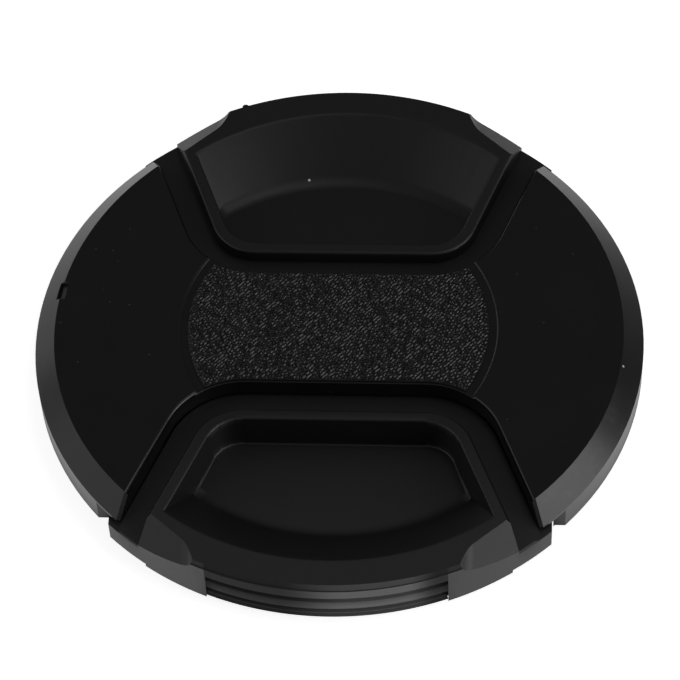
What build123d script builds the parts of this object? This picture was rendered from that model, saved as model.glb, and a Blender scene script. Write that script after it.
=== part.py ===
from build123d import *
import os
from math import atan2, cos, hypot, pi, radians, sin, sqrt, tan

# Centre-pinch lens cap for a 77 mm filter thread, lying face up on its locating ring.
# The cap's axis is Z, the two tabs slide along Y, and the two ears lie along X.

# Rim and cover
thread_radius = 38.5         # filter thread that the cap clamps into
rim_overhang = 1.5           # rim's outside past the thread
rim_wall = 1.7               # thickness of the rim's wall
rim_height = 6.15            # from the foot of the rim to the top of the ears
rim_end_inset = 13.25        # from the rim's outside in to where its wall stops beside a tab, along Y
chamfer_run = 2.7            # width of the chamfer round the ears, seen from above
chamfer_drop = 2.35          # height of that chamfer
ear_thickness = 1.8          # top wall of an ear
ear_edge_bevel = 0.45        # bevel along the channels and at the ears' ends
channel_skirt = 1.3          # wall that stands under an ear along the channel

# Bridge with its grained panel
bridge_half_width = 9.2      # from the middle to the channel's straight edge
recess_radius = 21.2         # round sunk field in the middle
recess_depth = 0.35
recess_slope = 0.4           # width of the field's sloped edge
panel_radius = 19.8          # grained pad inside the field
panel_rise = 0.14
panel_inset = 0.3            # pad's edge behind the channel's edge

# Tab outline, measured on the raised platform
channel_gap = 3.65           # open channel between the platform and the cover
platform_half_width = 16.1   # half the platform's inner edge, before its corners are rounded
platform_corner = 6.5        # radius of those corners
side_angle = 21.0            # lean of the tab's sides, in degrees from Y
pocket_rim = 1.75            # wall between the pocket and the platform's side
tab_proud = 0.6              # how far a released tab stands out past the rim
tab_travel = 3.0             # how far a tab is pinched in
platform_drop = 1.05         # platform's inner edge below the top of the ears
lip_rise = 0.27              # lip's outer edge above the top of the ears
platform_bevel = 0.4         # bevel along the platform's upper edge
mouth_bevel = 0.3            # bevel along the pocket's mouth

# Finger pocket
pocket_depth = 5.8           # from the top of the ears to the pocket's floor
pocket_draft = 5.0           # lean of the pocket's walls, in degrees
pocket_bevel = 0.25          # bevel between the floor and the walls
floor_thickness = 0.9
lip_width = 4.0              # lip between the pocket and the tab's outer wall
slope_run = 7.5              # width of the pocket's sloped outer wall, seen from above
slope_thickness = 1.5        # height of material under that slope

# Tab's outer wall
tab_overhang = 0.35          # tab's outer wall past the rim's radius
tab_height = 6.2             # from the foot of the tab's wall to the top of the ears
wall_edge_bevel = 0.3        # bevel between the flange and the outer wall
lip_band = 0.8               # height of the sloped band round the lip
lip_band_run = 0.4           # width of that band, seen from above
lip_ledge = 0.15             # ledge between the band and the outer wall
corner_angle = 45.0          # way the slanted corners face, in degrees from X
corner_slope = 36.0          # their lean, in degrees from level
corner_inset = 4.15          # their upper edge from the outer wall's radius, along the way they face
corner_scoop = 3.6           # radius where a slanted corner runs out into the lip
lip_half_width = 16.2        # half the length of the lip between the scoops
window_half_width = 15.15    # half the length of the ribbed window under the lip
window_drop = 2.05           # window's upper edge below the top of the ears
window_depth = 0.8
rib_height = 0.55            # of the rib and the bead over the window's ground
rib_drop = 2.0               # rib's middle below the window's upper edge
rib_foot = 1.9               # width of the rib where it starts
rib_crest = 1.5              # width of its flat crest
bead_gap = 0.32              # between the feet of the rib and of the bead under it
bead_foot = 0.75
bead_crest = 0.35

# Flange, wings and stops
flange_drop = 2.95           # flange below the top of the ears
flange_thickness = 1.5
flange_gap = 0.15            # between the flange's raised field and the channel's wall, seen from above
wing_step = 0.25             # wings lie this much lower than the flange
wing_inset = 12.0            # from the rim's outside in to a wing's side, along X
wing_inner = 17.0            # where the wide part of the wings starts, along Y
tail_half_width = 19.0       # narrower tail of the flange, under the bridge
tail_overlap = 1.7           # how far that tail reaches under the bridge
lug_length = 4.0             # stop lugs on the wings' sides
stop_length = 4.45           # stops at the rim's ends, along Y
lug_reach = 1.3
running_gap = 0.25           # between pieces that slide over each other, above and below
guide_gap = 0.3              # between a wing's side and its guide
stop_gap = 0.15              # between a lug and its stop with the tab released

# Clamping hook behind the lip
thread_gap = 0.1             # between the hook's outside and the thread's crests
hook_thickness = 1.5
hook_half_width = 20.0
hook_bevel = 0.4             # lead-in along the hook's foot

# Back plate
plate_recess = 0.85          # plate's underside above the foot of the locating ring
plate_thickness = 1.0
plate_gap = 0.4              # between the plate and the inside of the rim
ring_width = 1.4             # locating ring on the plate
post_x = 30.5                # posts that carry the plate, in each ear
post_y = 7.0
post_width = 3.2
stake_width = 1.6
stake_head = 2.6
stake_head_height = 0.35
stake_gap = 0.05

# Springs, one on each side, both tabs pushing on their ends
spring_x = 12.0
spring_diameter = 3.0        # outside
spring_wire = 0.45
spring_turns = 6
spring_sides = 12            # straight lengths of wire a turn
spring_end_gap = 0.03        # between a spring's ends and their seats
spring_pin_gap = 0.15        # between a pin's corners and the inside of the spring
spring_pin_length = 1.6
seat_wall = 1.3              # wall across the flange's tail that the springs press on
rail_wall = 0.8
rail_gap = 0.35              # between a spring and its rails

# Small gouge in the edge of one ear
nick_angle = 172.0
nick_length = 3.0
nick_width = 1.5
nick_depth = 0.65            # below the plane that lies on the ear's edge
nick_taper = 25.0            # lean of its sides, in degrees

# Rim
rim_radius = thread_radius + rim_overhang
rim_inner = rim_radius - rim_wall
rim_end = rim_radius - rim_end_inset
wing_half_width = rim_radius - wing_inset
tab_radius = rim_radius + tab_overhang

# Levels
plate_top = plate_recess + plate_thickness
tub_bottom = plate_top + running_gap
floor_level = tub_bottom + floor_thickness
top = floor_level + pocket_depth
rim_foot = top - rim_height
flange_top = top - flange_drop
flange_bottom = flange_top - flange_thickness
cover_underside = flange_top + running_gap
wing_top = flange_top - wing_step
tab_foot = top - tab_height
lip_top = top + lip_rise
clear_above = top + 5.0      # height that every cut from above reaches
clear_below = -1.0           # depth that every cut from below reaches
wide = 2 * rim_radius        # distance past the rim that every cut across reaches
near = 0.01                  # how closely an edge that is picked must lie to its place

# Places along Y, on the tab at the +Y side
platform_inner = bridge_half_width + channel_gap
tail_inner = bridge_half_width - tail_overlap
guide_x = wing_half_width + guide_gap
stop_start = rim_end - stop_length
hook_outer = thread_radius - thread_gap
hook_inner = hook_outer - hook_thickness
spring_level = (plate_top + cover_underside) / 2
half_turn = Rot(0, 0, 180)


def tab_outline(offset):
    """Tab's outline on XY, grown by offset, open towards +Y past the rim."""
    lean = tan(radians(side_angle))
    inner = platform_inner - offset
    corner = platform_half_width + offset * (1 / cos(radians(side_angle)) - lean)
    far = corner + (wide - inner) * lean
    face = make_face(Polyline((-far, wide), (-corner, inner), (corner, inner), (far, wide), close=True))
    corners = face.vertices().sort_by(Axis.Y)[:2]
    return fillet(corners, platform_corner + offset)


def upright(face, low, high):
    """Straight solid of a face on XY between two heights."""
    return extrude(Pos(0, 0, low) * face, amount=high - low)


def turned(*points):
    """Solid of revolution about the cap's axis of a closed outline given as radius and height."""
    return revolve(Plane.XZ * make_face(Polyline(*points, close=True)), Axis.Z)


def block(x_low, x_high, y_low, y_high, z_low, z_high):
    """Box between two corners."""
    size = Box(x_high - x_low, y_high - y_low, z_high - z_low, align=Align.MIN)
    return Pos(x_low, y_low, z_low) * size


def disc(radius, low, high):
    """Cylinder about the cap's axis between two heights."""
    return Pos(0, 0, low) * Cylinder(radius, high - low, align=(Align.CENTER, Align.CENTER, Align.MIN))


def in_four_corners(solid):
    """Copies of a solid at +X +Y in all four quarters."""
    right = solid + mirror(solid, Plane.XZ)
    return right + mirror(right, Plane.YZ)


def square_post(width, low, high):
    """Square post in the ear at +X +Y, between two heights."""
    half = width / 2
    return block(post_x - half, post_x + half, post_y - half, post_y + half, low, high)


def make_cover():
    """Front cover: two ears, the bridge, the rim and the posts inside."""
    ear_radius = rim_radius - chamfer_run
    ear_underside = top - ear_thickness
    cover = turned(
        (0, top),
        (ear_radius, top),
        (rim_radius, top - chamfer_drop),
        (rim_radius, rim_foot),
        (rim_inner, rim_foot),
        (rim_inner, cover_underside),
        (0, cover_underside),
    )

    # both tabs' channels, and the room for their wings under the ears
    channel = upright(tab_outline(channel_gap), clear_below, clear_above)
    past_rim_end = block(-wide, wide, rim_end, wide, clear_below, cover_underside)
    between_guides = block(-guide_x, guide_x, 0, wide, clear_below, cover_underside)
    room = channel + past_rim_end + between_guides
    cover -= room + half_turn * room

    # channel edges, and the ears' ends beside the tabs
    def runs_along_rim(edge):
        return edge.geom_type == GeomType.CIRCLE and abs(edge.radius - ear_radius) < near

    edges = cover.edges()
    channel_edges = [e for e in edges.filter_by_position(Axis.Z, top, top) if not runs_along_rim(e)]
    below_top = edges.filter_by_position(Axis.Z, cover_underside, top, (False, False))
    uprights = [e for e in below_top.filter_by(Axis.Z) if hypot(e.center().X, e.center().Y) > ear_radius]
    end_edges = [e for e in below_top if abs(abs((e @ 0).Z - (e @ 1).Z) - chamfer_drop) < near]
    cover = chamfer(channel_edges + uprights + end_edges, ear_edge_bevel)

    # sunk round field with its pad
    field_floor = top - recess_depth
    cover -= turned(
        (0, clear_above),
        (recess_radius, clear_above),
        (recess_radius, top),
        (recess_radius - recess_slope, field_floor),
        (0, field_floor),
    )
    pad_edge = upright(tab_outline(channel_gap + panel_inset), clear_below, clear_above)
    pad = disc(panel_radius, field_floor, field_floor + panel_rise)
    cover += pad - pad_edge - half_turn * pad_edge

    # hollow of each ear, whose outer side follows the chamfer
    skirt = upright(tab_outline(channel_gap + channel_skirt), clear_below, clear_above)
    chamfer_slope = chamfer_drop / chamfer_run
    hollow_inner = recess_radius + channel_skirt
    hollow = turned(
        (hollow_inner, rim_foot),
        (rim_inner, rim_foot),
        (rim_inner, ear_underside - chamfer_slope * (rim_inner - ear_radius)),
        (ear_radius, ear_underside),
        (hollow_inner, ear_underside),
    )
    cover -= hollow - skirt - half_turn * skirt

    # stops and guides for the wings at the rim's ends
    stop = block(guide_x, rim_radius, stop_start, rim_end, rim_foot, cover_underside)
    cover += in_four_corners(stop & disc((rim_inner + rim_radius) / 2, rim_foot, cover_underside))

    # square posts with staked ends that hold the back plate
    head_low = plate_recess - stake_head_height
    post = square_post(post_width, plate_top, ear_underside)
    post += square_post(stake_width, plate_recess, plate_top)
    post += square_post(stake_head, head_low, plate_recess)
    cover += in_four_corners(post)

    # gouge in the edge of one ear, sunk from the plane that lies on the edge
    edge_lean = atan2(chamfer_drop, chamfer_run) / 2
    inwards = (-sin(edge_lean), 0, -cos(edge_lean))
    on_edge = Plane(origin=(ear_radius, 0, top), x_dir=(0, 1, 0), z_dir=inwards)
    gouge = extrude(on_edge * Rectangle(nick_length, nick_width), amount=nick_depth, taper=nick_taper)
    return cover - Rot(0, 0, nick_angle) * gouge


def make_back_plate():
    """Back plate with its locating ring, stake holes and spring rails."""
    radius = rim_inner - plate_gap
    plate = disc(radius, 0, plate_top) - disc(radius - ring_width, 0, plate_recess)

    # room for the tabs' hooks and walls over their whole travel
    pinched = Pos(0, tab_proud - tab_travel)
    room = block(-guide_x, guide_x, 0, wide, clear_below, clear_above)
    room -= pinched * disc(hook_inner - guide_gap, clear_below, clear_above)
    plate -= room + half_turn * room

    # rails along both sides of each spring
    rail_end = tail_inner - tab_travel - guide_gap
    rail_reach = spring_diameter / 2 + rail_gap
    rail = block(rail_reach, rail_reach + rail_wall, -rail_end, rail_end, plate_top, spring_level)
    rails = Pos(spring_x) * (rail + mirror(rail, Plane.YZ))
    plate += rails + mirror(rails, Plane.YZ)

    hole = square_post(stake_width + 2 * stake_gap, 0, plate_top)
    return plate - in_four_corners(hole)


def window_cut():
    """Ring-shaped cut for the ribbed window, whose inner side follows the rib and the bead."""
    window_top = top - window_drop
    ground = tab_radius - window_depth
    crest = ground + rib_height
    points = [(wide, window_top), (ground, window_top)]
    rib_middle = window_top - rib_drop
    bead_middle = rib_middle - rib_foot / 2 - bead_gap - bead_foot / 2
    for middle, foot, flat in ((rib_middle, rib_foot, rib_crest), (bead_middle, bead_foot, bead_crest)):
        points.append((ground, middle + foot / 2))
        points.append((crest, middle + flat / 2))
        points.append((crest, middle - flat / 2))
        points.append((ground, middle - foot / 2))
    points += [(ground, clear_below), (wide, clear_below)]
    return turned(*points)


def make_tab():
    """Pinch tab at the +Y side, released. It is made about its own arcs' centre, then set out."""
    home = Pos(0, -tab_proud)
    outer = disc(tab_radius, clear_below, clear_above)

    # flange, its wings, the tail under the bridge and the outer wall, bevelled along the upper edge
    flange = upright(home * tab_outline(channel_gap - flange_gap), flange_bottom, flange_top)
    side = wing_half_width
    wings = block(-side, side, wing_inner, wide, flange_bottom, wing_top)
    seat_end = tail_inner - tab_proud
    tail = block(-tail_half_width, tail_half_width, seat_end, wing_inner, flange_bottom, wing_top)
    lug_high = stop_start - stop_gap - tab_proud
    lug = block(side, side + lug_reach, lug_high - lug_length, lug_high, flange_bottom, wing_top)
    wall = disc(tab_radius, tab_foot, wing_top) - disc(hook_outer, tab_foot, wing_top)
    wall &= block(-side, side, 0, wide, tab_foot, wing_top)
    shoulder = disc(tab_radius, tab_foot, flange_top)
    shoulder = chamfer(shoulder.edges().filter_by_position(Axis.Z, flange_top, flange_top), wall_edge_bevel)
    tab = (flange + wings + tail + wall) & shoulder
    tab += lug + mirror(lug, Plane.YZ)

    # seat wall for the springs, with their pins
    seat_far = seat_end + seat_wall
    tab += block(-tail_half_width, tail_half_width, seat_end, seat_far, tub_bottom, wing_top)
    pin_half = (spring_diameter / 2 - spring_wire - spring_pin_gap) / sqrt(2)
    pin = block(-pin_half, pin_half, seat_end - spring_pin_length, seat_end, -pin_half, pin_half)
    pin = Pos(spring_x, 0, spring_level) * pin
    tab += pin + mirror(pin, Plane.YZ)

    # platform with its slightly rising top, the tub of the pocket below it, and the hook
    inner = platform_inner - tab_proud
    rise = (lip_rise + platform_drop) / (tab_radius - inner)
    level = top - platform_drop - rise * inner
    far_level = level + rise * wide
    sky = clear_above + wide
    over_face = Plane.YZ * make_face(
        Polyline((0, level), (wide, far_level), (wide, sky), (0, sky), close=True)
    )
    over_platform = extrude(over_face, amount=wide, both=True)
    platform = upright(home * tab_outline(0), flange_bottom, clear_above) & outer
    platform -= over_platform
    platform_edges = platform.faces().sort_by(Axis.Z)[-1].edges()
    rim_edge = platform_edges.sort_by(Axis.Y)[-1]
    platform = chamfer([e for e in platform_edges if e != rim_edge], platform_bevel)
    tub = upright(home * tab_outline(floor_thickness - pocket_rim), tub_bottom, flange_top) & outer
    hook = turned(
        (hook_inner, 0),
        (hook_outer - hook_bevel, 0),
        (hook_outer, hook_bevel),
        (hook_outer, flange_top),
        (hook_inner, flange_top),
    )
    hook &= block(-hook_half_width, hook_half_width, 0, wide, clear_below, clear_above)
    tab += platform + tub + hook

    # hollow under the pocket's sloped outer wall
    floor_radius = rim_radius - lip_width - slope_run
    run = slope_run / pocket_depth
    foot = floor_level - slope_thickness
    roof = top - slope_thickness
    under_slope = turned(
        (floor_radius + run * (clear_below - foot), clear_below),
        (hook_inner, clear_below),
        (hook_inner, roof),
        (floor_radius + run * (roof - foot), roof),
    )
    tab -= under_slope & upright(home * tab_outline(-pocket_rim), clear_below, roof)

    # pocket: drafted walls, and a cone for the sloped outer wall
    mouth = top - platform_drop
    draft = tan(radians(pocket_draft))
    pocket_face = home * tab_outline(-pocket_rim - draft * (mouth - floor_level))
    height = clear_above - floor_level
    pocket = extrude(Pos(0, 0, floor_level) * pocket_face, amount=height, taper=-pocket_draft)
    pocket &= turned(
        (0, floor_level),
        (floor_radius, floor_level),
        (floor_radius + run * (clear_above - floor_level), clear_above),
        (0, clear_above),
    )
    pocket = chamfer(pocket.faces().sort_by(Axis.Z)[0].edges(), pocket_bevel)
    pocket += over_platform
    mouth_edges = [
        e
        for e in pocket.edges()
        if 0 < e.center().Y < tab_radius and abs(e.center().Z - level - rise * e.center().Y) < near
    ]
    pocket = chamfer(mouth_edges, mouth_bevel)
    tab -= pocket

    # slanted corners, each a flat that runs out into the lip in a scoop
    over_corner = extrude(Rectangle(2 * wide, 2 * wide), amount=wide)
    flat_edge = Pos(tab_radius - corner_inset, 0, top)
    over_corner = Rot(0, 0, corner_angle) * flat_edge * Rot(0, corner_slope, 0) * over_corner
    corner = over_corner & block(lip_half_width, wide, 0, wide, flange_bottom, clear_above)
    lip_end = corner.edges().filter_by_position(Axis.X, lip_half_width, lip_half_width)
    corner = fillet(lip_end.sort_by(Axis.Y)[0], corner_scoop)
    corner &= upright(home * tab_outline(0), flange_bottom, clear_above)
    tab -= corner + mirror(corner, Plane.YZ)

    # ribbed window and the sloped band round the lip
    side = window_half_width
    tab -= window_cut() & block(-side, side, 0, wide, clear_below, top)
    band_foot = lip_top - lip_band
    band_radius = tab_radius - lip_ledge
    tab -= turned(
        (band_radius - lip_band_run, lip_top),
        (band_radius, band_foot),
        (wide, band_foot),
        (wide, clear_above),
        (band_radius - lip_band_run, clear_above),
    )
    return Pos(0, tab_proud) * tab


def make_spring():
    """Coil spring along Y between the tabs' seat walls, at the +X side, its wire in straight lengths."""
    coil_radius = (spring_diameter - spring_wire) / 2
    length = 2 * (tail_inner - spring_end_gap) - spring_wire
    steps = spring_turns * spring_sides
    points = []
    for step in range(steps + 1):
        angle = 2 * pi * step / spring_sides
        along = length * (step / steps - 0.5)
        points.append((coil_radius * cos(angle), along, coil_radius * sin(angle)))
    path = Polyline(*points)
    section = Plane(origin=path @ 0, z_dir=path % 0) * Rectangle(spring_wire, spring_wire)
    coil = sweep(section, path, transition=Transition.RIGHT)
    return Pos(spring_x, 0, spring_level) * coil


tab = make_tab()
spring = make_spring()
nodes = {
    "front_cover": make_cover(),
    "back_plate": make_back_plate(),
    "upper_pinch_tab": tab,
    "lower_pinch_tab": half_turn * tab,
    "right_spring": spring,
    "left_spring": half_turn * spring,
}
os.makedirs("parts", exist_ok=True)
for name, solid in nodes.items():
    export_step(solid, f"parts/{name}.step")
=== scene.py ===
"""Looks of a centre-pinch camera lens cap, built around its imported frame."""
import math
import random

import bpy
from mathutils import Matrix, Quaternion, Vector


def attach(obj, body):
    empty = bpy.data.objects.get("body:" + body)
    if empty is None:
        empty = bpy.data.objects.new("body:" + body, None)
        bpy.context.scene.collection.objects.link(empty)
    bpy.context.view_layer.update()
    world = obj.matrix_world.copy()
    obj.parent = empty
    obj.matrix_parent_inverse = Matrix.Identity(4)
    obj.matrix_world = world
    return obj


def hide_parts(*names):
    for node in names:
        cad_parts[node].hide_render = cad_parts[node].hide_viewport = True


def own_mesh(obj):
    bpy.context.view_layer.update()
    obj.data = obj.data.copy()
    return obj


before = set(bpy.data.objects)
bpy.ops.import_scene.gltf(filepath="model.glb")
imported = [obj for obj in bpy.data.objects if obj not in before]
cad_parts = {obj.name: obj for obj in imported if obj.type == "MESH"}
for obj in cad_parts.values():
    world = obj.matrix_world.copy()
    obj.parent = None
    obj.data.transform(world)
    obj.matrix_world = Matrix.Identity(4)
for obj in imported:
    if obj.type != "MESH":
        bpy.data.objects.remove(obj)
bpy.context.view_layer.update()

MM = 0.001

# Cover and pad, in metres from the cap's axis and its foot
EAR_TOP = 8.8 * MM
PAD_TOP = 8.59 * MM
PAD_RADIUS = 19.8 * MM
PAD_EDGE = 3.95 * MM                # pad's edge from the outline of a tab's platform
PLATFORM_INNER = 12.85 * MM         # that platform's straight inner edge
CORNER_RADIUS = 6.5 * MM            # its rounded corners, and where they start along X
CORNER_X = 11.633 * MM

# Tabs, about an axis of their own, which stands further out than the cap's
TAB_PROUD = 0.6 * MM
TAB_RADIUS = 40.35 * MM
TAB_FOOT = 2.6 * MM
POCKET_FLOOR = 3.0 * MM
BEVEL_FOOT_RADIUS = 28.25 * MM      # narrow bevel between the pocket's floor and the slope to the lip
BEVEL_HEAD_RADIUS = 28.698 * MM
BEVEL_HEAD = 3.153 * MM
SLOPE_RISE = 5.8 / 7.5
SLOPE_FOOT_SPREAD = 0.35 * MM       # how far each edge of that bevel is drawn away from it
SLOPE_FOOT_BEVEL = 0.45 * MM
WINDOW_HALF_WIDTH = 15.15 * MM
WINDOW_GROUND = 39.55 * MM
BEAD_RADIUS = 40.1 * MM
BEAD_FOOT = 2.93 * MM
HOOK_OUTER = 38.4 * MM
HOOK_HALF_WIDTH = 20.0 * MM
THREAD_PITCH = 0.75 * MM
THREAD_HEIGHT = 0.35 * MM
THREAD_CREST = 0.2                  # crest's share of the pitch
THREAD_LEVELS = (0.95 * MM, 1.7 * MM)
RING_STEPS = 40
RING_SEAT = 0.05 * MM               # how deep a ring's back lies in the wall that carries it
RING_CREASE = math.radians(20)

# Leather grain, a sheet of waves that mostly run one way
GRAIN_STEP = 0.085 * MM
GRAIN_HALF_WIDTH = 10.4 * MM        # of the sheet before it is cut to the pad's outline
GRAIN_DIP = 0.03 * MM               # how deep the sheet's edge lies in the pad
GRAIN_FADE = 0.35 * MM              # width of the strip along that edge in which it rises
GRAIN_LIFT = 0.14 * MM
GRAIN_HEIGHT = 0.096 * MM
GRAIN_PERIOD = 0.46 * MM
GRAIN_SHORTEST = 0.8                # shares of that period
GRAIN_LONGEST = 1.3
GRAIN_LEAN = math.radians(-56)
GRAIN_SPREAD = math.radians(30)
GRAIN_WAVES = 40
GRAIN_SEED = 7
GRAIN_EVENNESS = 0.85               # 1 gives all pebbles one height

# Springs
SPRING_X = 12.0 * MM
SPRING_LEVEL = 3.975 * MM
SPRING_COIL_RADIUS = 1.275 * MM
SPRING_WIRE_RADIUS = 0.225 * MM
SPRING_WIRE_SIDES = 12
SPRING_HALF_LENGTH = 7.47 * MM
SPRING_HALF_TURNS = 3
SPRING_HALF_STEPS = 28 * SPRING_HALF_TURNS
SPRING_CREASE = math.radians(50)

# Marks of use
POCKET_SPECK = (-5.4 * MM, 29.16 * MM, 3.44 * MM)
CHAMFER_SPECK = (37.15 * MM, -5.89 * MM, 8.53 * MM)
SPECK_RADIUS = 0.22 * MM
LIP_BURR = (-14.45 * MM, 38.05 * MM, 8.55 * MM)
BURR_RADIUS = 0.36 * MM
BURR_STRETCH = (1.3, 0.9, 0.8)
BURR_OUTWARD = (-0.36, 0.93, 0)
BURR_CREASE = math.radians(40)

# What the materials tell faces apart by: the upward part of their normals, and their distance from the axis
CHAMFER_UPWARD = 0.75
UPWARD_SLACK = 0.1
NEARLY_LEVEL = 0.9
LEVEL = 0.98
GRIP_RADIUS = 39.5 * MM

# Stage
FLOOR_SIZE = 12.0
FLOOR_GLOW = 0.83                   # for the camera
BESIDE_GLOW = 0.72                  # in what the cap mirrors, beside it and far off
DISTANT_GLOW = 0.06
# The next two paint into that glow a shadow close to the cap's foot and shade at the far right
FOOT_SHADOW_SHARE = 0.05                   # what is left of that close to the cap's foot
FAR_RIGHT_SHADE = 0.9                # what is lost of it at the far right
ROOM_GLOW = 0.108

# Points nearer than NEAR are on one line, and nearer than SAME are one.
# Faces that meet at less than GENTLE are one curve, and at less than FLAT one face.
NEAR = 0.02 * MM
SAME = 0.001 * MM
GENTLE = math.radians(15)
FLAT = math.radians(0.3)


# Nodes

def colour(code):
    """Linear colour of an sRGB hex code."""
    parts = [int(code[i:i + 2], 16) / 255 for i in (1, 3, 5)]
    return tuple(c / 12.92 if c <= 0.04045 else ((c + 0.055) / 1.055) ** 2.4 for c in parts) + (1.0,)


def add(tree, kind, settings=None, inputs=None):
    """Adds a node with its settings, and sets or links its inputs."""
    node = tree.nodes.new(kind)
    for name, value in (settings or {}).items():
        setattr(node, name, value)
    for name, value in (inputs or {}).items():
        if isinstance(value, bpy.types.NodeSocket):
            tree.links.new(value, node.inputs[name])
        else:
            node.inputs[name].default_value = value
    return node


def new_material(name):
    """Empty material with its tree and its output."""
    material = bpy.data.materials.new(name)
    material.use_nodes = True
    tree = material.node_tree
    tree.nodes.clear()
    return material, tree, add(tree, "ShaderNodeOutputMaterial")


def by_axis(tree, vector):
    """X, Y and Z of a vector."""
    return add(tree, "ShaderNodeSeparateXYZ", None, {0: vector}).outputs


def noise(tree, place, size, detail, roughness=0.5):
    """Noise over a piece, with features of a given size."""
    inputs = {"Vector": place.outputs["Object"], "Scale": 1 / size, "Detail": detail, "Roughness": roughness}
    return add(tree, "ShaderNodeTexNoise", None, inputs).outputs["Fac"]


def ramp(tree, value, start=0.0, end=1.0, low=0.0, high=1.0, way="LINEAR"):
    """Goes from low to high while a value goes from start to end, and stays so beyond them."""
    inputs = {"Value": value, "From Min": start, "From Max": end, "To Min": low, "To Max": high}
    return add(tree, "ShaderNodeMapRange", {"interpolation_type": way}, inputs).outputs["Result"]


def soft_ramp(tree, value, start, end):
    """Goes from nought to one while a value goes from start to end, slowly at both ends."""
    return ramp(tree, value, start, end, way="SMOOTHSTEP")


def reckon(tree, operation, *values):
    """Result of a sum on one, two or three values."""
    return add(tree, "ShaderNodeMath", {"operation": operation}, dict(enumerate(values))).outputs[0]


def product(tree, first, *others):
    """Product of two or more values."""
    for other in others:
        first = reckon(tree, "MULTIPLY", first, other)
    return first


def measure(tree, operation, *vectors):
    """Length that comes of one or two vectors."""
    node = add(tree, "ShaderNodeVectorMath", {"operation": operation}, dict(enumerate(vectors)))
    return node.outputs["Value"]


def tinted(tree, share, ground, code):
    """Colour between a ground, given by a code or a node, and the colour of a code."""
    ground = colour(ground) if isinstance(ground, str) else ground
    inputs = {0: share, 6: ground, 7: colour(code)}
    return add(tree, "ShaderNodeMix", {"data_type": "RGBA"}, inputs).outputs[2]


def speck(tree, place, centre, core):
    """Mask of a speck about a point, full inside its core."""
    return ramp(tree, measure(tree, "DISTANCE", place.outputs["Object"], centre), SPECK_RADIUS, core)


def shade(tree, output, tint, sheen, bumps, strength, depth, **constants):
    """Joins a shader with a colour, a roughness, fine bumps and constants to a material's output."""
    skin = add(tree, "ShaderNodeBump", None, {"Strength": strength, "Distance": depth, "Height": bumps})
    inputs = {"Base Color": tint, "Roughness": sheen, "Normal": skin.outputs["Normal"], **constants}
    shader = add(tree, "ShaderNodeBsdfPrincipled", None, inputs)
    tree.links.new(shader.outputs["BSDF"], output.inputs["Surface"])


# Editing

def select_only(obj):
    """Makes one object the only selected and the active one."""
    bpy.ops.object.select_all(action="DESELECT")
    obj.select_set(True)
    bpy.context.view_layer.objects.active = obj


def just_added(name):
    """The object that an operator has just added, with its name."""
    bpy.context.object.name = name
    return bpy.context.object


def in_edit(obj, mode):
    """Opens an object for editing with all of it deselected, in a vertex, edge or face mode."""
    select_only(obj)
    bpy.ops.object.mode_set(mode="EDIT")
    bpy.ops.mesh.select_mode(type=mode)
    bpy.ops.mesh.select_all(action="DESELECT")


def in_edit_with(obj, mode, wanted):
    """Opens an object for editing with its vertices, edges or faces that are wanted selected."""
    in_edit(obj, mode)
    bpy.ops.object.mode_set(mode="OBJECT")
    mesh = obj.data
    for part in {"VERT": mesh.vertices, "EDGE": mesh.edges, "FACE": mesh.polygons}[mode]:
        part.select = wanted(part)
    bpy.ops.object.mode_set(mode="EDIT")


def apply_modifier(obj, kind, **settings):
    """Adds a modifier with its settings and applies it."""
    select_only(obj)
    modifier = obj.modifiers.new(kind.lower(), kind)
    for name, value in settings.items():
        setattr(modifier, name, value)
    bpy.ops.object.modifier_apply(modifier=modifier.name)


def smooth_by_angle(obj, crease):
    """Soft shading, with edges sharp where faces meet at more than an angle."""
    select_only(obj)
    bpy.ops.object.shade_smooth_by_angle(angle=crease)


def finish_piece(piece, body, material):
    """Gives a piece its material and the body it moves with."""
    piece.data.materials.clear()
    piece.data.materials.append(material)
    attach(piece, body)


# Shapes of the mouldings

def moulding(node, name):
    """Joined copy of a moulded piece that stands for it, its flat faces in one."""
    piece = bpy.data.objects.new(name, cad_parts[node].data.copy())
    bpy.context.scene.collection.objects.link(piece)
    select_only(piece)
    bpy.ops.mesh.customdata_custom_splitnormals_clear()
    in_edit(piece, "VERT")
    bpy.ops.mesh.select_all(action="SELECT")
    bpy.ops.mesh.remove_doubles(threshold=SAME)
    bpy.ops.mesh.dissolve_limited(angle_limit=FLAT)
    bpy.ops.object.mode_set(mode="OBJECT")
    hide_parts(node)
    return piece


def face_strips(mesh):
    """Faces of every edge, the strip of gently joined faces that each face is in, the lengths along which
    strips meet, and the strips' widths.
    """
    sides = {}
    for face in mesh.polygons:
        for key in face.edge_keys:
            sides.setdefault(key, []).append(face.index)
    strip = list(range(len(mesh.polygons)))

    def first_of(number):
        while strip[number] != number:
            number = strip[number]
        return number

    for faces in sides.values():
        one, other = (mesh.polygons[number].normal for number in (faces[0], faces[-1]))
        if one.angle(other, math.pi) < GENTLE:
            strip[first_of(faces[0])] = first_of(faces[-1])
    strip = [first_of(number) for number in strip]
    area = dict.fromkeys(strip, 0.0)
    for face in mesh.polygons:
        area[strip[face.index]] += face.area
    shared = {}
    for key, faces in sides.items():
        pair = frozenset(strip[number] for number in faces)
        ends = [mesh.vertices[number].co for number in key]
        shared[pair] = shared.get(pair, 0.0) + (ends[0] - ends[1]).length
    border = dict.fromkeys(strip, 0.0)
    for pair, length in shared.items():
        if len(pair) == 2:
            for number in pair:
                border[number] += length
    width = {number: 2 * area[number] / max(border[number], MM) for number in area}
    return sides, strip, shared, width


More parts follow.
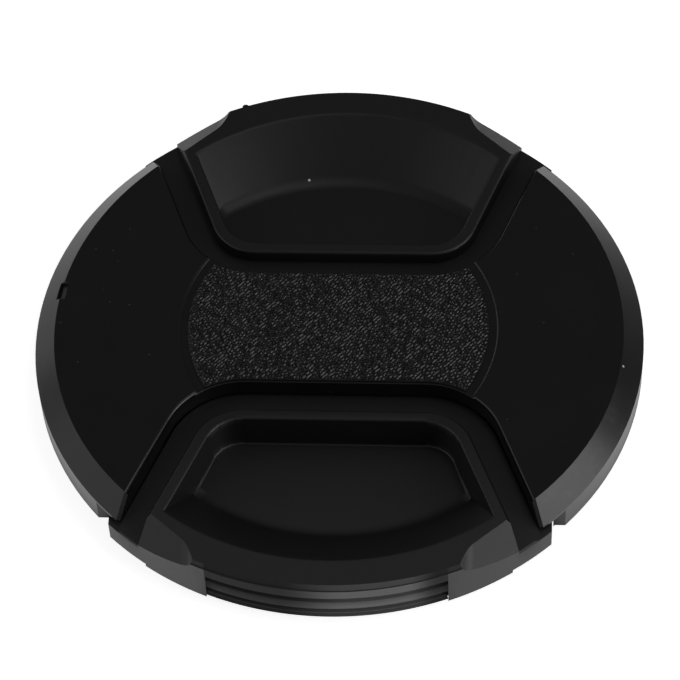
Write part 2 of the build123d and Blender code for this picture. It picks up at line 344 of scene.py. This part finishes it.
def soften(piece, least, most, slender=3, ledge=0.0):
    """Soft shading over curves and along slender bevels of some widths, all other edges sharp.

    Bevels that are wider, up to the ledge's width, are soft along their top edge only.
    """
    mesh = piece.data
    sides, strip, shared, width = face_strips(mesh)
    for edge in mesh.edges:
        pair = frozenset(strip[number] for number in sides[edge.key])
        on_top = min(mesh.vertices[number].co.z for number in edge.key) > EAR_TOP - NEAR
        widest = max(most, ledge) if on_top else most
        along_bevel = any(
            least < width[number] < widest and shared[pair] > slender * width[number]
            for number in pair
        )
        edge.use_edge_sharp = len(pair) == 2 and not along_bevel
    select_only(piece)
    bpy.ops.object.shade_smooth(keep_sharp_edges=True)
    apply_modifier(piece, "WEIGHTED_NORMAL", keep_sharp=True, weight=100)


def select_row(tab, side, radius, level):
    """Opens a tab with its edges along one arc about the tab's axis selected."""
    axis = Vector((0, side * TAB_PROUD))

    def on_arc(number):
        point = tab.data.vertices[number].co
        return abs(point.z - level) < NEAR and abs((point.xy - axis).length - radius) < NEAR

    in_edit_with(tab, "EDGE", lambda edge: all(map(on_arc, edge.vertices)))


def round_slope_foot(tab, side):
    """Rounds the narrow bevel where the pocket's floor turns up into the slope to the lip.

    The bevel's edges are drawn apart along the floor and the slope, and each is then bevelled.
    """
    axis = (0, side * TAB_PROUD, 0)
    narrower = 1 - SLOPE_FOOT_SPREAD / BEVEL_FOOT_RADIUS
    wider = 1 + SLOPE_FOOT_SPREAD / BEVEL_HEAD_RADIUS
    select_row(tab, side, BEVEL_FOOT_RADIUS, POCKET_FLOOR)
    bpy.ops.transform.resize(value=(narrower, narrower, 1), center_override=axis)
    bpy.ops.object.mode_set(mode="OBJECT")
    select_row(tab, side, BEVEL_HEAD_RADIUS, BEVEL_HEAD)
    bpy.ops.transform.resize(value=(wider, wider, 1), center_override=axis)
    bpy.ops.transform.translate(value=(0, 0, SLOPE_FOOT_SPREAD * SLOPE_RISE))
    bpy.ops.mesh.bevel(offset=SLOPE_FOOT_BEVEL, segments=3, affect="EDGES")
    bpy.ops.object.mode_set(mode="OBJECT")
    select_row(tab, side, BEVEL_FOOT_RADIUS - SLOPE_FOOT_SPREAD, POCKET_FLOOR)
    bpy.ops.mesh.bevel(offset=SLOPE_FOOT_BEVEL, segments=3, affect="EDGES")
    bpy.ops.object.mode_set(mode="OBJECT")


# Shapes that the scene adds

def tab_ring(name, side, inner, outer, low, high, half_width):
    """Stretch of a square-edged ring about a tab's own axis, on the cap's +Y or -Y side."""
    reach = math.asin(half_width / outer)
    start = side * math.pi / 2 + reach
    middle = (inner + outer) / 2
    bpy.ops.mesh.primitive_plane_add(size=1, rotation=(math.pi / 2, 0, start))
    ring = just_added(name)
    ring.scale = (outer - inner, high - low, 1)
    ring.location = (middle * math.cos(start), middle * math.sin(start) + side * TAB_PROUD, (low + high) / 2)
    bpy.ops.object.transform_apply(location=True, rotation=True, scale=True)
    in_edit(ring, "FACE")
    bpy.ops.mesh.select_all(action="SELECT")
    bpy.ops.mesh.spin(steps=RING_STEPS, angle=2 * reach, center=(0, side * TAB_PROUD, 0), axis=(0, 0, 1))
    bpy.ops.mesh.select_all(action="SELECT")
    bpy.ops.mesh.normals_make_consistent(inside=False)
    bpy.ops.object.mode_set(mode="OBJECT")
    return ring


def scale_outside(ring, side, radius, level, factors, height):
    """Scales a ring's points beyond a radius and above a level, about the tab's axis at a height."""
    axis = Vector((0, side * TAB_PROUD))
    in_edit_with(ring, "VERT", lambda point: (point.co.xy - axis).length > radius and point.co.z > level)
    bpy.ops.transform.resize(value=factors, center_override=(0, side * TAB_PROUD, height))
    bpy.ops.object.mode_set(mode="OBJECT")
    smooth_by_angle(ring, RING_CREASE)


def depth_inside_pad(x, y):
    """How far a point lies inside the pad's outline, in metres."""
    beside = max(abs(x) - CORNER_X, 0.0)
    from_platform = math.hypot(beside, PLATFORM_INNER + CORNER_RADIUS - abs(y)) - CORNER_RADIUS
    return min(PAD_RADIUS - math.hypot(x, y), from_platform - PAD_EDGE)


def grain_sheet(name):
    """Fine flat sheet with the pad's outline, just under the pad's top."""
    bpy.ops.mesh.primitive_grid_add(
        x_subdivisions=round(2 * PAD_RADIUS / GRAIN_STEP),
        y_subdivisions=round(2 * GRAIN_HALF_WIDTH / GRAIN_STEP),
        size=2,
    )
    sheet = just_added(name)
    in_edit(sheet, "FACE")
    bpy.ops.mesh.select_all(action="SELECT")
    bpy.ops.transform.resize(value=(PAD_RADIUS, GRAIN_HALF_WIDTH, 1))
    bpy.ops.transform.translate(value=(0, 0, PAD_TOP - GRAIN_DIP))
    bpy.ops.object.mode_set(mode="OBJECT")
    in_edit_with(sheet, "FACE", lambda face: depth_inside_pad(*face.center.xy) < 0.5 * GRAIN_STEP)
    bpy.ops.mesh.delete(type="FACE")
    bpy.ops.object.mode_set(mode="OBJECT")
    return sheet


def raise_grain(sheet):
    """Raises a sheet's points into pebbles: a sum of waves, evened out by its own strength."""
    draw = random.Random(GRAIN_SEED)
    waves = []
    for _ in range(GRAIN_WAVES):
        turn = draw.gauss(GRAIN_LEAN, GRAIN_SPREAD)
        rate = 2 * math.pi / draw.uniform(GRAIN_SHORTEST * GRAIN_PERIOD, GRAIN_LONGEST * GRAIN_PERIOD)
        waves.append((rate * math.cos(turn), rate * math.sin(turn), draw.uniform(0, 2 * math.pi)))
    for vertex in sheet.data.vertices:
        x, y = vertex.co.xy
        phases = [along * x + across * y + phase for along, across, phase in waves]
        swell = sum(map(math.cos, phases)) / math.sqrt(GRAIN_WAVES)
        strength = math.hypot(swell, sum(map(math.sin, phases)) / math.sqrt(GRAIN_WAVES))
        raised = GRAIN_LIFT + GRAIN_HEIGHT * swell / strength ** GRAIN_EVENNESS
        vertex.co.z += raised * min(max(depth_inside_pad(x, y) / GRAIN_FADE, 0.0), 1.0)
    select_only(sheet)
    bpy.ops.object.shade_smooth()


def half_spring(name, x, side):
    """Half a coil spring, from the cap's middle towards +Y or -Y."""
    bpy.ops.mesh.primitive_circle_add(vertices=SPRING_WIRE_SIDES, radius=SPRING_WIRE_RADIUS,
                                      location=(SPRING_COIL_RADIUS, 0, 0), fill_type="NOTHING")
    spring = just_added(name)
    bpy.ops.object.transform_apply(location=True, rotation=True, scale=True)
    apply_modifier(spring, "SCREW", axis="Y", angle=2 * math.pi * SPRING_HALF_TURNS,
                   screw_offset=SPRING_HALF_LENGTH - SPRING_WIRE_RADIUS, steps=SPRING_HALF_STEPS,
                   render_steps=SPRING_HALF_STEPS, use_merge_vertices=True)
    in_edit(spring, "EDGE")
    bpy.ops.mesh.select_non_manifold()
    bpy.ops.mesh.edge_face_add()
    bpy.ops.mesh.select_all(action="SELECT")
    bpy.ops.mesh.normals_make_consistent(inside=False)
    if side < 0:
        bpy.ops.transform.rotate(value=math.pi, orient_axis="Z", center_override=(0, 0, 0))
    bpy.ops.transform.translate(value=(x, 0, SPRING_LEVEL))
    bpy.ops.object.mode_set(mode="OBJECT")
    smooth_by_angle(spring, SPRING_CREASE)
    return spring


# Materials

# Moulded polycarbonate, satin: nearly black, a broad soft sheen and a faint cloudiness from the mould,
# with fine dust, and on the right chamfer one bright speck and a painted reflection, a paler patchy tint
# towards its near end.
satin_polycarbonate, tree, output = new_material("satin_polycarbonate")
place = add(tree, "ShaderNodeTexCoord")
at = by_axis(tree, place.outputs["Object"])
facing = by_axis(tree, place.outputs["Normal"])
cloud = noise(tree, place, size=9 * MM, detail=3.0)
grit = noise(tree, place, size=0.35 * MM, detail=2.0)
# Patches of the painted reflection on the right chamfer
painted_reflection_patches = soft_ramp(tree, noise(tree, place, size=2.6 * MM, detail=5.0, roughness=0.65), 0.45, 0.7)
right = soft_ramp(tree, at["X"], 10 * MM, 30 * MM)
near = soft_ramp(tree, at["Y"], -4 * MM, -19 * MM)
sloped = reckon(tree, "COMPARE", facing["Z"], CHAMFER_UPWARD, UPWARD_SLACK)
painted_chamfer_reflection = product(tree, right, near, sloped, painted_reflection_patches)
dust = add(tree, "ShaderNodeTexVoronoi", None, {"Vector": place.outputs["Object"], "Scale": 1 / (2.8 * MM)})
dust = ramp(tree, dust.outputs["Distance"], 0.045, 0.03, high=0.5)
tint = tinted(tree, cloud, "#080808", "#101010")
# Painted reflection: paler tint on the sloped faces of the right chamfer towards its near end
tint = tinted(tree, painted_chamfer_reflection, tint, "#2c2c2c")
tint = tinted(tree, speck(tree, place, CHAMFER_SPECK, core=0.12 * MM), tint, "#c8c8c8")
tint = tinted(tree, dust, tint, "#5a5a5a")
sheen = ramp(tree, cloud, low=0.27, high=0.35)
shade(tree, output, tint, sheen, grit, strength=0.05, depth=0.05 * MM, IOR=1.5)

# Moulded ABS, spark-eroded matt: a duller, more even sheen than the cover's. Its level faces are painted
# paler towards the lower tab, a painted light; a part of the grip is polished and carries a painted
# highlight, and one pocket has a bright speck.
matt_abs, tree, output = new_material("matt_abs")
place = add(tree, "ShaderNodeTexCoord")
at = by_axis(tree, place.outputs["Object"])
facing = by_axis(tree, place.outputs["Normal"])
cloud = noise(tree, place, size=7 * MM, detail=3.0)
grit = noise(tree, place, size=0.3 * MM, detail=3.0)
# Painted light: level faces are tinted paler towards the lower tab, where more light falls
lower = soft_ramp(tree, at["Y"], -8 * MM, -36 * MM)
level = ramp(tree, facing["Z"], NEARLY_LEVEL, LEVEL)
painted_front_light = product(tree, lower, level)
flat = add(tree, "ShaderNodeVectorMath", {"operation": "MULTIPLY"},
           {0: place.outputs["Object"], 1: (1, 1, 0)})
outer = reckon(tree, "GREATER_THAN", measure(tree, "LENGTH", flat.outputs[0]), GRIP_RADIUS)
in_window = reckon(tree, "LESS_THAN", reckon(tree, "ABSOLUTE", at["X"]), WINDOW_HALF_WIDTH)
upright = reckon(tree, "LESS_THAN", facing["Z"], NEARLY_LEVEL)
grip = product(tree, outer, in_window, upright)
# Middle of the grip: less rough there, and a paler tint that is a painted highlight
gained = soft_ramp(tree, at["X"], -6 * MM, 3 * MM)
lost = soft_ramp(tree, at["X"], 14 * MM, 10 * MM)
grip_polish_and_highlight = product(tree, gained, lost)
tint = tinted(tree, cloud, "#0c0c0c", "#121212")
tint = tinted(tree, painted_front_light, tint, "#262626")
tint = tinted(tree, speck(tree, place, POCKET_SPECK, core=0.1 * MM), tint, "#dcdcdc")
# Painted highlight on the middle of the grip
tint = tinted(tree, product(tree, grip, grip_polish_and_highlight), tint, "#4c4c4c")
matt = ramp(tree, grit, low=0.38, high=0.5)
worn = ramp(tree, grip_polish_and_highlight, low=0.8, high=0.35)
sheen = add(tree, "ShaderNodeMix", None, {0: grip, 2: matt, 3: worn}).outputs[0]
shade(tree, output, tint, sheen, grit, strength=0.12, depth=0.05 * MM, IOR=1.5)

# Pebbled polycarbonate: the cover's plastic with a leather grain, glossier on its crowns, with painted
# shade, a darker tint, in the valleys between them.
pebbled_polycarbonate, tree, output = new_material("pebbled_polycarbonate")
place = add(tree, "ShaderNodeTexCoord")
at = by_axis(tree, place.outputs["Object"])
grit = noise(tree, place, size=0.2 * MM, detail=2.0)
crown = ramp(tree, at["Z"], PAD_TOP + 0.03 * MM, PAD_TOP + 0.15 * MM)
# Painted shade: darker tint in the valleys between the pebbles
tint = tinted(tree, crown, "#030303", "#0d0d0d")
sheen = ramp(tree, crown, low=0.34, high=0.22)
shade(tree, output, tint, sheen, grit, strength=0.15, depth=0.05 * MM, IOR=1.46)

# Drawn stainless wire: bright metal, its colour and gloss broken by a very fine grain.
drawn_steel, tree, output = new_material("drawn_steel")
place = add(tree, "ShaderNodeTexCoord")
grain = noise(tree, place, size=0.08 * MM, detail=2.0)
tint = tinted(tree, grain, "#a7a49d", "#c9c7c1")
sheen = ramp(tree, grain, low=0.2, high=0.35)
shade(tree, output, tint, sheen, grain, strength=0.1, depth=0.02 * MM, Metallic=1.0)

# Mouldings

cover = moulding("front_cover", "cover_moulding")
soften(cover, least=0.3 * MM, most=0.5 * MM, slender=8, ledge=0.55 * MM)
finish_piece(cover, "cover", satin_polycarbonate)

for node, name, body, side in (
    ("upper_pinch_tab", "upper_tab_moulding", "upper_tab", 1),
    ("lower_pinch_tab", "lower_tab_moulding", "lower_tab", -1),
):
    tab = moulding(node, name)
    round_slope_foot(tab, side)
    soften(tab, least=0.25 * MM, most=0.7 * MM)
    finish_piece(tab, body, matt_abs)

# Flared foot under the bead of each grip window, and ridges of the clamping thread outside each hook
for side, end in ((1, "upper"), (-1, "lower")):
    foot = tab_ring(f"{end}_grip_foot", side, WINDOW_GROUND - RING_SEAT, TAB_RADIUS, TAB_FOOT, BEAD_FOOT,
                    WINDOW_HALF_WIDTH)
    drawn_in = BEAD_RADIUS / TAB_RADIUS
    scale_outside(foot, side, BEAD_RADIUS, (TAB_FOOT + BEAD_FOOT) / 2, (drawn_in, drawn_in, 1), 0)
    finish_piece(foot, f"{end}_tab", matt_abs)
    for number, level in enumerate(THREAD_LEVELS, 1):
        ridge = tab_ring(f"{end}_thread_{number}", side, HOOK_OUTER - RING_SEAT, HOOK_OUTER + THREAD_HEIGHT,
                         level - THREAD_PITCH / 2, level + THREAD_PITCH / 2, HOOK_HALF_WIDTH)
        scale_outside(ridge, side, HOOK_OUTER + THREAD_HEIGHT / 2, 0, (1, 1, THREAD_CREST), level)
        finish_piece(ridge, f"{end}_tab", matt_abs)

# Burr that the mould left on the upper lip's outer edge, a pip cut off inside the lip
bpy.ops.mesh.primitive_ico_sphere_add(subdivisions=3, radius=BURR_RADIUS, location=LIP_BURR)
burr = just_added("upper_lip_burr")
bpy.ops.object.transform_apply(location=True, rotation=True, scale=True)
in_edit(burr, "FACE")
bpy.ops.mesh.select_all(action="SELECT")
bpy.ops.transform.resize(value=BURR_STRETCH, center_override=LIP_BURR)
bpy.ops.mesh.bisect(plane_co=LIP_BURR, plane_no=BURR_OUTWARD, use_fill=True, clear_inner=True)
bpy.ops.object.mode_set(mode="OBJECT")
smooth_by_angle(burr, BURR_CREASE)
finish_piece(burr, "upper_tab", matt_abs)

plate = moulding("back_plate", "back_plate_moulding")
soften(plate, least=0.0, most=0.0)
finish_piece(plate, "cover", matt_abs)

# Leather grain of the pad, which dips into the pad along its edge
pebbles = grain_sheet("pad_grain")
raise_grain(pebbles)
finish_piece(pebbles, "cover", pebbled_polycarbonate)

# Springs, each of two halves, from the cap's middle towards +Y and -Y, that ride with the cover
for node, x in (("right_spring", SPRING_X), ("left_spring", -SPRING_X)):
    for side, joint, end in ((1, "upper_pinch", "upper"), (-1, "lower_pinch", "lower")):
        coil = half_spring(f"{node}_{end}_half", x, side)
        finish_piece(coil, "cover", drawn_steel)
        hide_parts(node)
        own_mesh(coil)

# Stage: white floor, soft boxes, dim room

# White floor that glows for the camera. In what the cap mirrors its glow is painted light: less and less
# with distance, a painted shadow close to the cap's foot, and painted shade at the far right, where the room
# gives no light.
floor_paint, tree, output = new_material("white_floor")
path = add(tree, "ShaderNodeLightPath")
place = add(tree, "ShaderNodeTexCoord")
at = by_axis(tree, place.outputs["Object"])
away = measure(tree, "LENGTH", place.outputs["Object"])
mirrored = reckon(tree, "MAXIMUM", path.outputs["Is Glossy Ray"], path.outputs["Is Transmission Ray"])
# Painted shadow close to the cap's foot, and painted falloff of light with distance
clear = ramp(tree, away, 40.2 * MM, 41.6 * MM, low=FOOT_SHADOW_SHARE)
fade = ramp(tree, away, 46 * MM, 130 * MM, BESIDE_GLOW, DISTANT_GLOW)
# Painted shade at the far right
right = soft_ramp(tree, at["X"], 42 * MM, 58 * MM)
behind = soft_ramp(tree, at["Y"], -10 * MM, 8 * MM)
far_right_painted_shade = reckon(tree, "MULTIPLY_ADD", product(tree, right, behind), -FAR_RIGHT_SHADE, 1.0)
mirrored = product(tree, mirrored, product(tree, clear, fade), far_right_painted_shade)
glow = reckon(tree, "MULTIPLY_ADD", path.outputs["Is Camera Ray"], FLOOR_GLOW, mirrored)
surface = add(tree, "ShaderNodeBsdfPrincipled", None,
              {"Base Color": colour("#e6e6e6"), "Roughness": 0.9, "Specular IOR Level": 0.0,
               "Emission Color": colour("#ffffff"), "Emission Strength": glow})
tree.links.new(surface.outputs["BSDF"], output.inputs["Surface"])

bpy.ops.mesh.primitive_plane_add(size=FLOOR_SIZE)
floor = just_added("floor")
floor.data.materials.append(floor_paint)


def softbox(name, towards, distance, width, height, radiance):
    """Area lamp of a given brightness, in a direction from the cap and turned to it."""
    direction = Vector(towards).normalized()
    bpy.ops.object.light_add(type="AREA", location=direction * distance)
    lamp = just_added(name)
    lamp.rotation_euler = (-direction).to_track_quat("-Z", "Y").to_euler()
    lamp.data.shape = "RECTANGLE"
    lamp.data.size = width
    lamp.data.size_y = height
    lamp.data.energy = radiance * math.pi * width * height


softbox("right_softbox", (0.886, -0.26, 0.423), distance=1.0, width=0.75, height=0.65, radiance=2.75)
softbox("left_softbox", (-0.83, -0.2, 0.44), distance=1.0, width=1.1, height=0.8, radiance=0.7)
softbox("back_left_softbox", (-0.7, 0.7, 0.2), distance=1.2, width=0.9, height=0.5, radiance=0.85)
softbox("top_softbox", (0.25, 0.05, 0.97), distance=1.2, width=0.5, height=0.3, radiance=2.0)

world = bpy.data.worlds.new("dim_room")
bpy.context.scene.world = world
world.use_nodes = True
room = world.node_tree.nodes["Background"]
room.inputs["Color"].default_value = colour("#ffffff")
room.inputs["Strength"].default_value = ROOM_GLOW

# Camera at the photograph's angle
aim = Vector((0, 0, EAR_TOP))
stand = Vector((20.27 * MM, -239.96 * MM, 324.2 * MM))
bpy.ops.object.camera_add(location=stand)
camera = bpy.context.object
camera.rotation_mode = "QUATERNION"
roll = Quaternion((0, 0, 1), math.radians(-3.067))
camera.rotation_quaternion = (aim - stand).to_track_quat("-Z", "Y") @ roll
camera.data.sensor_width = 36.0
camera.data.lens = 160.33
camera.data.shift_x = 0.0026
camera.data.shift_y = -0.0222
camera.data.clip_start = 0.01
bpy.context.scene.camera = camera

bpy.context.scene.view_settings.view_transform = "Standard"
